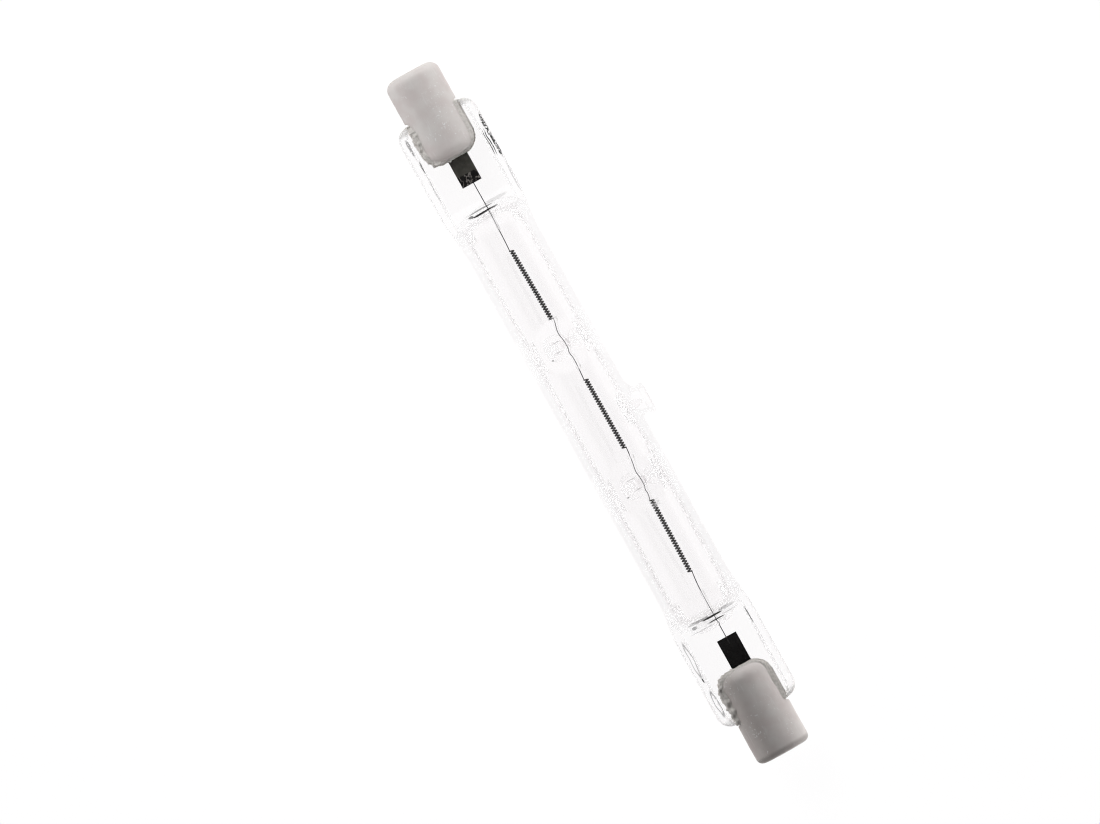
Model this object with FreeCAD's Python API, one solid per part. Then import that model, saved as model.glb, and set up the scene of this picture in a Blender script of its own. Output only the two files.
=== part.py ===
import FreeCAD, Part
import math
import os

from FreeCAD import Vector

# A double-ended halogen lamp with a clear quartz bulb, a three-coil filament and a ceramic cap at each end.
# It is modelled along X from its left end. Y points to the exhaust tip and Z out of the flat of the pinches.
# At the very end it is rolled onto its exhaust tip, which is how it comes to rest on a table.

# Whole lamp
lamp_length = 117.6
contact_recess = 1.7

# Quartz tube
tube_diameter = 11.9
tube_wall = 1.1

# Domed ends of the tube and of the hollow inside it, measured from the lamp's end
dome_nose = {"left": 22.9, "right": 21.6}
dome_length = {"left": 2.9, "right": 3.6}
dome_knuckle = 1.6
cavity_nose = {"left": 23.9, "right": 23.2}
cavity_dome_length = {"left": 2.2, "right": 2.2}
cavity_knuckle = 1.2

# Pinch seals: a flat web between two thicker ribs
pinch_start = 7.2
pinch_width = 13.2
web_thickness = 2.4
rib_thickness = 4.0
rib_width = 1.6
rib_slope = 0.45
rib_outer_rounding = 0.8
rib_inner_rounding = 0.3
pinch_corner_radius = 2.2
shoulder_length = 3.2
shoulder_rounding = 3.0

# A place, here and below, is a share of the way from the left foil's inner end to the right one's.
# At this lamp's length a share of 0.1 is 7.86 mm.

# Exhaust tip, a waisted button on the side of the tube, with a flare towards the left end
tip_place = 0.5229
tip_height = 2.2
tip_rim_diameter = 5.1
tip_rim_rounding = 0.5
tip_neck_diameter = 4.1
tip_neck_height = 0.85
tip_base_diameter = 6.4
tip_dish_diameter = 3.0
tip_dish_depth = 0.35
tip_hole_diameter = 1.8
tip_hole_end_diameter = 0.6
tip_flare_diameter = 7.4
tip_flare_height = 0.75
tip_flare_shift = 0.8

# Dimples that steady the straight stretches of the wire, in opposed pairs
dimple_place = (0.3562, 0.659)
dimple_lean = 22.0
dimple_wire_gap = 0.15
dimple_wall = 0.8
dimple_nose_diameter = 2.2
dimple_root_diameter = 4.2
dimple_bottom_diameter = 1.1
dimple_mouth_diameter = 2.6
dimple_rounding = 0.5

# Filament wire and its three coils; heights are measured from the lamp's axis towards the exhaust tip.
# In the coils the wire is itself wound into a fine thread, which is thicker than the single wire.
wire_size = 0.12
thread_size = 0.25
coil_diameter = 0.8
coil_turns = 28.5
steps_per_turn = 10
lead_steps = 5
coil_place = ((0.1489, 0.3028), (0.4351, 0.5878), (0.6997, 0.8575))
coil_height = ((0.53, 0.80), (0.95, 1.0), (0.82, 0.62))
dimple_wire_height = (0.89, 0.93)
dimple_wire_straight = 1.7

# Small bends in the wire between its coils, as (place, height)
bends_before_dimple = (((0.3117, 1.0), (0.3321, 0.58)), ((0.6209, 1.02), (0.6374, 0.74)))
bends_after_dimple = (((0.3753, 0.64), (0.3906, 0.96)), ((0.6768, 0.67), (0.687, 0.86)))

# Molybdenum foils, measured from the lamp's end
foil_outer_end = 9.8
foil_inner_end = {"left": 19.4, "right": 19.6}
foil_width = 3.26
foil_thickness = 0.05
foil_height = {"left": 0.26, "right": 0.67}
leg_height = {"left": 0.47, "right": 0.62}
leg_weld_length = 1.2
leg_straight_inside = 0.5

# Outer leads, from the foil to the contact
lead_diameter = 0.7
lead_flat_depth = 0.05
lead_weld_length = 2.4

# Contact buttons
contact_diameter = 2.9
contact_thickness = 0.8
contact_edge_rounding = 0.3
contact_seat_clearance = 0.05

# Ceramic caps
cap_diameter = 8.8
cap_length = 14.5
cap_end_rounding = {"left": 1.6, "right": 1.0}
lobe_end_diameter = 8.5
slot_width = 3.2
slot_floor = 6.8
lobe_corner_radius = 2.4
lobe_edge_rounding = 1.8
recess_diameter = 3.5
recess_mouth_chamfer = 0.25
lead_hole_diameter = 1.8

# Cement between each cap and its pinch, with a bead round the lobes
cement_setback = 0.4
cement_fill_diameter = 8.0
bead_width = 0.5
bead_height = 1.0
bead_rounding = 0.4

tube_radius = tube_diameter / 2
pinch_half = pinch_width / 2
cavity_radius = tube_radius - tube_wall
lamp_middle = Vector(lamp_length / 2, 0, 0)
tip_top = tube_radius + tip_height
coil_mean_radius = (coil_diameter - thread_size) / 2
leg_centre_z = (foil_thickness + wire_size) / 2
lead_centre_z = foil_thickness / 2 + lead_diameter / 2 - lead_flat_depth
contact_back = contact_recess + contact_thickness
foil_gap = lamp_length - foil_inner_end["left"] - foil_inner_end["right"]
TINY = 1e-6


def along(place):
    """The distance from the lamp's left end of a place given as a share of the gap between the foils."""
    return foil_inner_end["left"] + place * foil_gap


def rounded_outline(corners, place):
    """A closed wire of straight sides and arcs. A corner is (u, v, radius); place makes (u, v) a point."""
    stops = []
    for index, (u, v, radius) in enumerate(corners):
        corner = Vector(u, v, 0)
        before = Vector(*corners[index - 1][:2], 0) - corner
        after = Vector(*corners[(index + 1) % len(corners)][:2], 0) - corner
        before.normalize()
        after.normalize()
        if radius < TINY:
            stops.append((corner, corner, corner))
            continue
        half_angle = before.getAngle(after) / 2
        inward = (before + after).normalize()
        setback = radius / math.tan(half_angle)
        reach = radius / math.sin(half_angle) - radius
        stops.append((corner + before * setback, corner + inward * reach, corner + after * setback))
    edges = []
    for index, (start, middle, end) in enumerate(stops):
        last_end = stops[index - 1][2]
        if last_end.distanceToPoint(start) > TINY:
            edges.append(Part.makeLine(place(last_end.x, last_end.y), place(start.x, start.y)))
        if start.distanceToPoint(end) > TINY:
            points = [place(p.x, p.y) for p in (start, middle, end)]
            edges.append(Part.Arc(*points).toShape())
    return Part.Wire(edges)


def turned(corners, origin, axis, outward):
    """A solid of revolution. Each corner is (radius, distance along the axis from origin, rounding)."""
    wire = rounded_outline(corners, lambda r, d: origin + outward * r + axis * d)
    return Part.Face(wire).revolve(origin, axis, 360)


def prism(corners, place, sweep):
    """A rounded outline pushed along the vector sweep."""
    return Part.Face(rounded_outline(corners, place)).extrude(sweep)


def block(x_range, y_range, z_range):
    """A plain box between the given limits."""
    low, high = zip(x_range, y_range, z_range)
    size = [b - a for a, b in zip(low, high)]
    return Part.makeBox(*size, Vector(*low))


def around(middle, width):
    """The limits of a width centred on middle."""
    return (middle - width / 2, middle + width / 2)


def at_end(side, shape):
    """A shape modelled at the left end, moved to the side that it belongs to."""
    return shape.mirror(lamp_middle, Vector(1, 0, 0)) if side == "right" else shape


def dome_edges(radius, nose, length, knuckle, facing):
    """Half of a domed end, as a shallow arc over the axis and a tight one into the tube's side."""
    crown = (length**2 + (radius - knuckle) ** 2 - knuckle**2) / (2 * (length - knuckle))
    turn = math.atan2(radius - knuckle, crown - length)
    crown_centre = Vector(nose + facing * crown, 0, 0)
    knuckle_centre = Vector(nose + facing * length, radius - knuckle, 0)

    def on_arc(centre, size, angle):
        return centre + Vector(-facing * math.cos(angle), math.sin(angle), 0) * size

    shallow = [on_arc(crown_centre, crown, angle) for angle in (0, turn / 2, turn)]
    halfway = (turn + math.pi / 2) / 2
    tight = [on_arc(knuckle_centre, knuckle, angle) for angle in (turn, halfway, math.pi / 2)]
    return [Part.Arc(*shallow).toShape(), Part.Arc(*tight).toShape()]


def round_ended_tube(radius, noses, lengths, knuckle):
    """A round bar along X with a domed end at each nose; lengths says how far each dome reaches."""
    left, right = noses["left"], lamp_length - noses["right"]
    edges = dome_edges(radius, left, lengths["left"], knuckle, 1)
    edges += dome_edges(radius, right, lengths["right"], knuckle, -1)
    sides = (left + lengths["left"], right - lengths["right"])
    edges.append(Part.makeLine(Vector(sides[0], radius, 0), Vector(sides[1], radius, 0)))
    edges.append(Part.makeLine(Vector(left, 0, 0), Vector(right, 0, 0)))
    wire = Part.Wire(Part.sortEdges(edges)[0])
    return Part.Face(wire).revolve(Vector(0, 0, 0), Vector(1, 0, 0), 360)


def pinch(side):
    """The flattened seal at one end: an I-shaped section trimmed to its rounded outline."""
    shoulder_end = dome_nose[side] + dome_length[side] + shoulder_length / 2
    shoulder_from = shoulder_end - shoulder_length
    rib_foot = pinch_half - rib_width
    web = web_thickness / 2
    rib = rib_thickness / 2
    quarter = (
        (rib_foot, web, rib_inner_rounding),
        (rib_foot + rib_slope, rib, rib_inner_rounding),
        (pinch_half, rib, rib_outer_rounding),
    )
    section = list(quarter)
    section += [(u, -v, r) for u, v, r in reversed(quarter)]
    section += [(-u, -v, r) for u, v, r in quarter]
    section += [(-u, v, r) for u, v, r in reversed(quarter)]
    bar = prism(
        section,
        lambda u, v: Vector(pinch_start, u, v),
        Vector(shoulder_end - pinch_start, 0, 0),
    )
    inside_tube = tube_radius - rib_width / 2
    half_outline = (
        (pinch_start, pinch_half, pinch_corner_radius),
        (shoulder_from, pinch_half, shoulder_rounding),
        (shoulder_end, inside_tube, 0),
    )
    outline = list(half_outline)
    outline += [(u, -v, r) for u, v, r in reversed(half_outline)]
    trim = prism(
        outline,
        lambda u, v: Vector(u, v, -rib_thickness),
        Vector(0, 0, 2 * rib_thickness),
    )
    return at_end(side, bar.common(trim))


def exhaust_tip():
    """The sealed stub of the exhaust tube, with the narrow end of its hole inside."""
    foot = tube_radius - tube_wall * 0.8
    neck = tube_radius + tip_neck_height
    corners = (
        (0, foot, 0),
        (tip_base_diameter / 2, foot, 0),
        (tip_neck_diameter / 2, neck - tip_neck_height / 2, tip_height / 2),
        (tip_neck_diameter / 2, neck + tip_neck_height / 4, tip_height / 8),
        (tip_rim_diameter / 2, tip_top - 2 * tip_rim_rounding, tip_rim_rounding / 2),
        (tip_rim_diameter / 2, tip_top, tip_rim_rounding),
        (tip_dish_diameter / 2, tip_top, tip_dish_depth),
        (0, tip_top - tip_dish_depth, 0),
    )
    centre = Vector(along(tip_place), 0, 0)
    return turned(corners, centre, Vector(0, 1, 0), Vector(1, 0, 0))


def tip_flare():
    """The low mound that carries the glass of the tube up to one side of the tip."""
    foot = tube_radius - tube_wall * 0.8
    corners = (
        (0, foot, 0),
        (tip_flare_diameter / 2, foot, 0),
        (tip_neck_diameter / 2, tube_radius + tip_flare_height * 0.7, tip_flare_height * 1.4),
        (0, tube_radius + tip_flare_height, 0),
    )
    centre = Vector(along(tip_place) - tip_flare_shift, 0, 0)
    return turned(corners, centre, Vector(0, 1, 0), Vector(1, 0, 0))


def exhaust_hole():
    """The hole that the tube was filled through, drawn to a point in the tip."""
    corners = (
        (0, cavity_radius / 2, 0),
        (tip_hole_diameter / 2, cavity_radius / 2, 0),
        (tip_hole_diameter / 2, cavity_radius, tube_wall),
        (tip_hole_end_diameter / 2, tube_radius + tip_neck_height, tip_hole_end_diameter / 4),
        (0, tube_radius + tip_neck_height, 0),
    )
    centre = Vector(along(tip_place), 0, 0)
    return turned(corners, centre, Vector(0, 1, 0), Vector(1, 0, 0))


def dimple_axes():
    """Each dimple's point on the wire, and the direction out of the glass, front then back."""
    lean = math.radians(dimple_lean)
    front = Vector(0, -math.sin(lean), math.cos(lean))
    for place, height in zip(dimple_place, dimple_wire_height):
        yield Vector(along(place), height, 0), front
        yield Vector(along(place), height, 0), front * -1


def dimple_bulge(origin, axis):
    """Glass pushed into the tube, ending in a round nose close to the wire."""
    nose = dimple_nose_diameter / 2
    near = wire_size / 2 + dimple_wire_gap
    corners = (
        (0, near, 0),
        (nose, near, nose * 0.85),
        (dimple_root_diameter / 2, cavity_radius, 0),
        (dimple_root_diameter / 2, tube_radius, 0),
        (0, tube_radius, 0),
    )
    return turned(corners, origin, axis, Vector(1, 0, 0))


def dimple_dent(origin, axis):
    """The hollow that the tool left on the outside of a dimple."""
    bottom = wire_size / 2 + dimple_wire_gap + dimple_wall
    far = tube_diameter
    corners = (
        (0, bottom, 0),
        (dimple_bottom_diameter / 2, bottom, dimple_bottom_diameter * 0.45),
        (dimple_mouth_diameter / 2, tube_radius - dimple_rounding, dimple_rounding),
        (dimple_mouth_diameter, far, 0),
        (0, far, 0),
    )
    return turned(corners, origin, axis, Vector(1, 0, 0))


def leg_pocket(side):
    """The straight hole that the filament's leg fills in the glass."""
    reach = (foil_inner_end[side] - leg_weld_length, cavity_nose[side] + leg_straight_inside)
    height = around(leg_height[side], wire_size)
    return at_end(side, block(reach, height, around(leg_centre_z, wire_size)))


def foil(side):
    """A thin molybdenum strip sealed in the middle of the pinch."""
    reach = (foil_outer_end, foil_inner_end[side])
    height = around(foil_height[side], foil_width)
    return at_end(side, block(reach, height, around(0, foil_thickness)))


def outer_lead(side):
    """The round lead, flattened where it is welded to the foil."""
    end = foil_outer_end + lead_weld_length
    start = Vector(contact_back, 0, lead_centre_z)
    rod = Part.makeCylinder(lead_diameter / 2, end - contact_back, start, Vector(1, 0, 0))
    return at_end(side, rod).cut(foil(side))


def quartz_envelope():
    """Tube, pinches, dimples and tip in one piece, hollow, with its pockets for foils and wires."""
    glass = round_ended_tube(tube_radius, dome_nose, dome_length, dome_knuckle)
    for side in ("left", "right"):
        glass = glass.fuse(pinch(side))
    glass = glass.fuse(exhaust_tip()).fuse(tip_flare())
    cavity = round_ended_tube(cavity_radius, cavity_nose, cavity_dome_length, cavity_knuckle)
    cavity = cavity.fuse(exhaust_hole())
    for origin, axis in dimple_axes():
        cavity = cavity.cut(dimple_bulge(origin, axis))
    glass = glass.cut(cavity)
    for origin, axis in dimple_axes():
        glass = glass.cut(dimple_dent(origin, axis))
    for side in ("left", "right"):
        glass = glass.cut(foil(side)).cut(outer_lead(side)).cut(leg_pocket(side))
    return glass.removeSplitter()


def coil_points(span, heights):
    """Centres along one coil and its leads, with the way out of the coil and the size at each."""
    step_angle = 2 * math.pi / steps_per_turn
    step_length = coil_mean_radius * step_angle
    main_steps = round(coil_turns * steps_per_turn) - lead_steps
    lead_share = [(index + 0.5) / lead_steps for index in range(lead_steps)]
    shares = lead_share + [1.0] * main_steps + lead_share[::-1]
    # The pitch is what is left of the span when both leads have run along it
    along_leads = sum((1 - share) * step_length for share in shares)
    advance = (span[1] - span[0] - along_leads) / sum(shares)
    x, angle = span[0], math.pi
    points = []
    for share in [None] + shares:
        if share is not None:
            angle += share * step_angle
            x += share * advance + (1 - share) * step_length
        height = heights[0] + (heights[1] - heights[0]) * (x - span[0]) / (span[1] - span[0])
        outward = Vector(0, math.cos(angle), math.sin(angle))
        at_either_end = len(points) in (0, len(shares))
        size = wire_size if at_either_end else thread_size
        points.append((Vector(x, height, 0) + outward * coil_mean_radius, outward, size))
    return points


def filament_points():
    """The whole wire from foil to foil: the centre, sideways direction and size at each point."""
    sideways = Vector(0, -1, 0)
    route = []
    for x in (foil_inner_end["left"] - leg_weld_length, cavity_nose["left"] + leg_straight_inside):
        route.append((Vector(x, leg_height["left"], leg_centre_z), sideways, wire_size))
    for index, (places, heights) in enumerate(zip(coil_place, coil_height)):
        # Each coil ends half a turn on from where it starts, so the wire's two sides swap at the next coil
        swap = (-1) ** index
        span = [along(place) for place in places]
        route += [(point, outward * swap, size) for point, outward, size in coil_points(span, heights)]
        sideways = route[-1][1]
        if index < len(dimple_place):
            held = around(along(dimple_place[index]), dimple_wire_straight)
            link = [(along(place), height) for place, height in bends_before_dimple[index]]
            link += [(x, dimple_wire_height[index]) for x in held]
            link += [(along(place), height) for place, height in bends_after_dimple[index]]
            route += [(Vector(x, height, 0), sideways, wire_size) for x, height in link]
    for x in (cavity_nose["right"] + leg_straight_inside, foil_inner_end["right"] - leg_weld_length):
        route.append((Vector(lamp_length - x, leg_height["right"], leg_centre_z), sideways, wire_size))
    return route


def wire_section(centre, heading, sideways, size):
    """The square outline of the wire at a point, across the way it heads."""
    across = heading.cross(sideways).normalize() * (size / 2)
    side = across.cross(heading).normalize() * (size / 2)
    corners = [centre + side + across, centre - side + across]
    corners += [centre - side - across, centre + side - across]
    return Part.makePolygon(corners + corners[:1])


def tungsten_filament():
    """One wire through all three coils, made by joining its sections one to the next."""
    route = filament_points()
    sections = []
    for index, (centre, sideways, size) in enumerate(route):
        before = route[max(index - 1, 0)][0]
        after = route[min(index + 1, len(route) - 1)][0]
        if index in (1, len(route) - 2):
            heading = Vector(1, 0, 0)
        else:
            heading = (after - before).normalize()
        sections.append(wire_section(centre, heading, sideways, size))
    return Part.makeLoft(sections, True, True)


def lobe_prism(half_width, grow, low, high):
    """A plan outline of the lobes with a rounded end, between two heights; grow moves its end outwards."""
    end = cap_length + grow
    radius = lobe_corner_radius + grow
    corners = [(0, half_width, 0), (end, half_width, radius)]
    corners += [(end, -half_width, radius), (0, -half_width, 0)]
    return prism(corners, lambda u, v: Vector(u, v, low), Vector(0, 0, high - low))


def ceramic_cap(side):
    """A turned ceramic body with a slot for the pinch, a recess for the contact and a hole for the lead."""
    radius = cap_diameter / 2
    corners = (
        (0, 0, 0),
        (radius, 0, cap_end_rounding[side]),
        (radius, slot_floor, 0),
        (lobe_end_diameter / 2, cap_length, lobe_edge_rounding),
        (0, cap_length, 0),
    )
    body = turned(corners, Vector(0, 0, 0), Vector(1, 0, 0), Vector(0, 0, 1))
    trim = lobe_prism(radius, 0, -radius, radius)
    slot = block((slot_floor, 2 * cap_length), around(0, 2 * cap_diameter), around(0, slot_width))
    recess_radius = recess_diameter / 2
    seat_radius = contact_diameter / 2 + contact_seat_clearance
    recess = (
        (0, 0, 0),
        (recess_radius + recess_mouth_chamfer, 0, 0),
        (recess_radius, recess_mouth_chamfer, 0),
        (recess_radius, contact_recess, 0),
        (seat_radius, contact_recess, 0),
        (seat_radius, contact_back, 0),
        (0, contact_back, 0),
    )
    recess = turned(recess, Vector(0, 0, 0), Vector(1, 0, 0), Vector(0, 0, 1))
    hole = Part.makeCylinder(lead_hole_diameter / 2, slot_floor, Vector(0, 0, 0), Vector(1, 0, 0))
    return at_end(side, body.common(trim).cut(slot).cut(recess).cut(hole))


def contact(side):
    """A round contact button with a softened edge, seated on the floor of the recess."""
    corners = (
        (0, contact_recess, 0),
        (contact_diameter / 2, contact_recess, contact_edge_rounding),
        (contact_diameter / 2, contact_back, 0),
        (0, contact_back, 0),
    )
    return at_end(side, turned(corners, Vector(0, 0, 0), Vector(1, 0, 0), Vector(0, 0, 1)))


def cement_bead(facing):
    """The rounded bead along the edges of one lobe, on the front or back of the web."""
    lobe_half = math.sqrt(cap_diameter**2 - slot_width**2) / 2
    face = web_thickness / 2
    bead = lobe_prism(lobe_half + bead_width, bead_width, face, face + bead_height)
    beyond = around(0, 2 * cap_diameter)
    bead = bead.common(block((pinch_start, 2 * cap_length), beyond, beyond))
    crests = [edge for edge in bead.Edges if edge.BoundBox.ZMin > face + bead_height - TINY]
    crests = [edge for edge in crests if edge.BoundBox.XMax > pinch_start + TINY]
    bead = bead.makeFillet(bead_rounding, crests)
    return bead if facing > 0 else bead.mirror(Vector(0, 0, 0), Vector(0, 0, 1))


def cement(side, cap):
    """Cement that fills the slot round the pinch and stands out as a bead along the lobes."""
    fill = block((slot_floor, cap_length - cement_setback), around(0, cap_diameter), around(0, slot_width))
    inside = Part.makeCylinder(cement_fill_diameter / 2, cap_length, Vector(0, 0, 0), Vector(1, 0, 0))
    paste = fill.common(inside).fuse(cement_bead(1)).fuse(cement_bead(-1))
    return at_end(side, paste).cut(cap).cut(pinch(side)).cut(outer_lead(side)).removeSplitter()


def at_rest(shape):
    """The lamp rolled until the rim of the exhaust tip touches the table that the tube lies on."""
    rim_centre_radius = tip_rim_diameter / 2 - tip_rim_rounding
    rim_centre_height = tip_top - tip_rim_rounding
    reach = math.hypot(rim_centre_radius, rim_centre_height)
    lead = math.atan2(rim_centre_radius, rim_centre_height)
    roll = math.asin((tube_radius - tip_rim_rounding) / reach) - lead
    moved = shape.copy()
    moved.rotate(Vector(0, 0, 0), Vector(1, 0, 0), -math.degrees(roll))
    moved.translate(Vector(-lamp_length / 2, 0, tube_radius))
    return moved


def lamp_pieces():
    """Every piece by its name, in the lamp's own axes."""
    pieces = {"quartz_envelope": quartz_envelope(), "tungsten_filament": tungsten_filament()}
    for side in ("left", "right"):
        cap = ceramic_cap(side)
        pieces["molybdenum_foil_" + side] = foil(side)
        pieces["outer_lead_" + side] = outer_lead(side)
        pieces["contact_" + side] = contact(side)
        pieces["ceramic_cap_" + side] = cap
        pieces["cement_" + side] = cement(side, cap)
    return pieces


os.makedirs("parts", exist_ok=True)
placed = {name: at_rest(shape) for name, shape in lamp_pieces().items()}
box = placed["quartz_envelope"].optimalBoundingBox(False, False)
print("lamp axis at y", -(box.YMin + box.YMax) / 2, "z", tube_radius)
for name, shape in placed.items():
    shape.translate(Vector(0, -(box.YMin + box.YMax) / 2, 0))
    shape.exportStep("parts/" + name + ".step")
    print(name, "valid", shape.isValid(), "solids", len(shape.Solids), "volume", round(shape.Volume, 3))
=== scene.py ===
import math

import bmesh
import bpy
import numpy as np
from mathutils import Matrix, Vector, noise


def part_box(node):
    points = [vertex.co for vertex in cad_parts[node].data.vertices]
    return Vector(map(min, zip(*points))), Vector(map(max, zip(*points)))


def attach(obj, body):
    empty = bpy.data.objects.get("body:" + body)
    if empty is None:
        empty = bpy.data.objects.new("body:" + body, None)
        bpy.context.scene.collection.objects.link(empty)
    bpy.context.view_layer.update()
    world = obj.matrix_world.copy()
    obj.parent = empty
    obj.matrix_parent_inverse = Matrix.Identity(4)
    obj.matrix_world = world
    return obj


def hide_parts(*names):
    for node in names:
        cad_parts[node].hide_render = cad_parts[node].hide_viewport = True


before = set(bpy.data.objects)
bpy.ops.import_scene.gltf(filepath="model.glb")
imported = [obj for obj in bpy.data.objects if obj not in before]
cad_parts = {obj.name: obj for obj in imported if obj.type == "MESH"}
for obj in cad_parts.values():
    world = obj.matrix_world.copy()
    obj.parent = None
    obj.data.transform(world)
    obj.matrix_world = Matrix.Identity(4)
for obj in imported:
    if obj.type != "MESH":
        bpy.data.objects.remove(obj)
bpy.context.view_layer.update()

# The quartz envelope is one piece of fused quartz: a drawn tube whose ends were softened and pressed flat
# round the foils, with a sealed exhaust stub on its side and two pairs of dimples pushed in from outside.
# The dimples steady the wire between its coils. Nothing fixes it: every other piece is sealed in it or to it.
lamp_length = 117.6
tube_radius = 5.95
cavity_radius = 4.85
round_steps = 128
quarter = round_steps // 4
quartz_tint = (0.99, 0.986, 0.987)
quartz_ior = 1.458

# The lamp is shaped in its own axes in millimetres: u from the left end, v to the exhaust tip, w out of the
# flat. It lies rolled onto the rim of its tip, so these axes are turned about u and set on the table.
tip_top = 8.15
tip_rim_radius = 2.55
tip_rim_rounding = 0.5
rim_reach = math.hypot(tip_rim_radius - tip_rim_rounding, tip_top - tip_rim_rounding)
rim_lead = math.atan2(tip_rim_radius - tip_rim_rounding, tip_top - tip_rim_rounding)
roll = math.asin((tube_radius - tip_rim_rounding) / rim_reach) - rim_lead
cap_low, cap_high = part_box("ceramic_cap_left")
axis_point = (cap_low + cap_high) / 2
tip_way = Vector((0, math.cos(roll), -math.sin(roll)))
face_way = Vector((0, math.sin(roll), math.cos(roll)))
to_world = Matrix.Identity(4)
for row in range(3):
    to_world[row][0] = 0.001 * (row == 0)
    to_world[row][1] = 0.001 * tip_way[row]
    to_world[row][2] = 0.001 * face_way[row]
    to_world[row][3] = axis_point[row] if row else -0.0005 * lamp_length


def operation(name):
    """A method of Value: one kind of sum on it, and on another value where the sum takes two."""
    return lambda value, other=0.0: value.combine(name, value, other)


class Value:
    """A socket of a tree of nodes that can be used in sums."""

    __add__ = __radd__ = operation("ADD")
    __sub__ = operation("SUBTRACT")
    __mul__ = __rmul__ = operation("MULTIPLY")
    __truediv__ = operation("DIVIDE")
    __gt__ = operation("GREATER_THAN")
    absolute = operation("ABSOLUTE")
    root = operation("SQRT")
    sine = operation("SINE")
    cosine = operation("COSINE")
    maximum = operation("MAXIMUM")

    def __init__(self, tree, socket):
        self.tree = tree
        self.socket = socket

    def __rsub__(self, other):
        return self.combine("SUBTRACT", other, self)

    def combine(self, operation, first, second=0.0, third=0.0):
        return self.tree.add("Math", {0: first, 1: second, 2: third}, operation=operation)

    def clamped(self):
        return self.combine("MINIMUM", self.combine("MAXIMUM", self, 0.0), 1.0)

    def fade(self, start, end):
        """0 before start, 1 past end and a soft change between them."""
        ends = {"Value": self, "From Min": start, "From Max": end}
        return self.tree.add("MapRange", ends, interpolation_type="SMOOTHSTEP")


class Tree:
    """A tree of nodes in the making: they are added one by one, and their sockets come back as Values."""

    def add(self, kind, sockets=None, out=0, **settings):
        """A new node, of a shader's kind where its name doesn't hold the word Node."""
        node = self.tree.nodes.new(kind if "Node" in kind else "ShaderNode" + kind)
        for key, setting in settings.items():
            setattr(node, key, setting)
        for key, given in (sockets or {}).items():
            if isinstance(given, Value):
                self.tree.links.new(given.socket, node.inputs[key])
            else:
                node.inputs[key].default_value = given
        return Value(self, node.outputs[out])


class Paint(Tree):
    """The nodes of a new material, or of the world where that is given."""

    def __init__(self, name, world=None):
        self.owner = world or bpy.data.materials.new(name)
        self.owner.use_nodes = True
        self.tree = self.owner.node_tree
        self.tree.nodes.clear()

    def place(self, size=(1000.0, 1000.0, 1000.0)):
        """The point on the piece, in millimetres unless size says otherwise."""
        here = self.add("TexCoord", out="Object")
        return self.add("Mapping", {"Vector": here, "Scale": size})

    def toward(self, point, way):
        """How far a point lies along a way."""
        return self.add("VectorMath", {0: point, 1: way}, out="Value", operation="DOT_PRODUCT")

    def lamp_axes(self):
        """The point in the lamp's own axes: u along it from its middle, v to the tip, w out of the flat."""
        place = self.place()
        middle = Vector((0, axis_point.y, axis_point.z)) * 1000
        from_axis = self.add("VectorMath", {0: place, 1: middle}, operation="SUBTRACT")
        lengthward = self.add("SeparateXYZ", {0: place}, out="X")
        return lengthward, self.toward(from_axis, tip_way), self.toward(from_axis, face_way)

    def grain(self, place, scale, detail=2.0, roughness=0.5):
        sockets = {"Vector": place, "Scale": scale, "Detail": detail, "Roughness": roughness}
        return self.add("TexNoise", sockets, out="Fac")

    def blend(self, share, first, second):
        return self.add("Mix", {0: share, 6: first, 7: second}, out=2, data_type="RGBA")

    def layer(self, share, under, over):
        return self.add("MixShader", {0: share, 1: under, 2: over})

    def bump(self, height, strength, distance):
        return self.add("Bump", {"Height": height, "Strength": strength, "Distance": distance})

    def plain(self, kind, colour, **sockets):
        """A shader of one colour."""
        return self.add(kind, {"Color": (*colour, 1), **sockets})

    def coat(self, colour, roughness, shine=0.5, **sockets):
        """The finished material, where one principled shader is all of it."""
        sockets.update({"Base Color": colour, "Roughness": roughness, "Specular IOR Level": shine})
        return self.finish(self.add("BsdfPrincipled", sockets))

    def ray(self, kind):
        return self.add("LightPath", out="Is %s Ray" % kind)

    def finish(self, shader, output="ShaderNodeOutputMaterial"):
        end = self.tree.nodes.new(output)
        self.tree.links.new(shader.socket, end.inputs["Surface"])
        return self.owner


def smooth_step(value):
    value = np.clip(value, 0.0, 1.0)
    return value * value * (3 - 2 * value)


def smooth_max(first, second, reach):
    """The larger of two heights, with a soft fillet where they are nearly equal."""
    near = np.maximum(reach - np.abs(first - second), 0.0) / reach
    return np.maximum(first, second) + near * near * reach / 4


def quarter_turn(count):
    return np.linspace(0, math.pi / 2, count)


def placed(name, data):
    """A new object in the scene."""
    piece = bpy.data.objects.new(name, data)
    bpy.context.scene.collection.objects.link(piece)
    return piece


def mesh_object(name, points, faces, inside_out=False):
    """A smooth mesh from points in the lamp's axes, with its faces turned outwards."""
    mesh = bpy.data.meshes.new(name)
    mesh.from_pydata([tuple(p) for p in points], [], faces)
    mesh.transform(to_world)
    shape = bmesh.new()
    shape.from_mesh(mesh)
    bmesh.ops.recalc_face_normals(shape, faces=shape.faces)
    if inside_out:
        bmesh.ops.reverse_faces(shape, faces=shape.faces)
    shape.to_mesh(mesh)
    shape.free()
    mesh.shade_smooth()
    return placed(name, mesh)


def join_into(keeper, others):
    """Puts the meshes of the other objects into the keeper and deletes them."""
    shape = bmesh.new()
    for piece in [keeper] + others:
        shape.from_mesh(piece.data)
    shape.to_mesh(keeper.data)
    shape.free()
    for piece in others:
        bpy.data.objects.remove(piece)
    keeper.data.shade_smooth()
    return keeper


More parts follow.
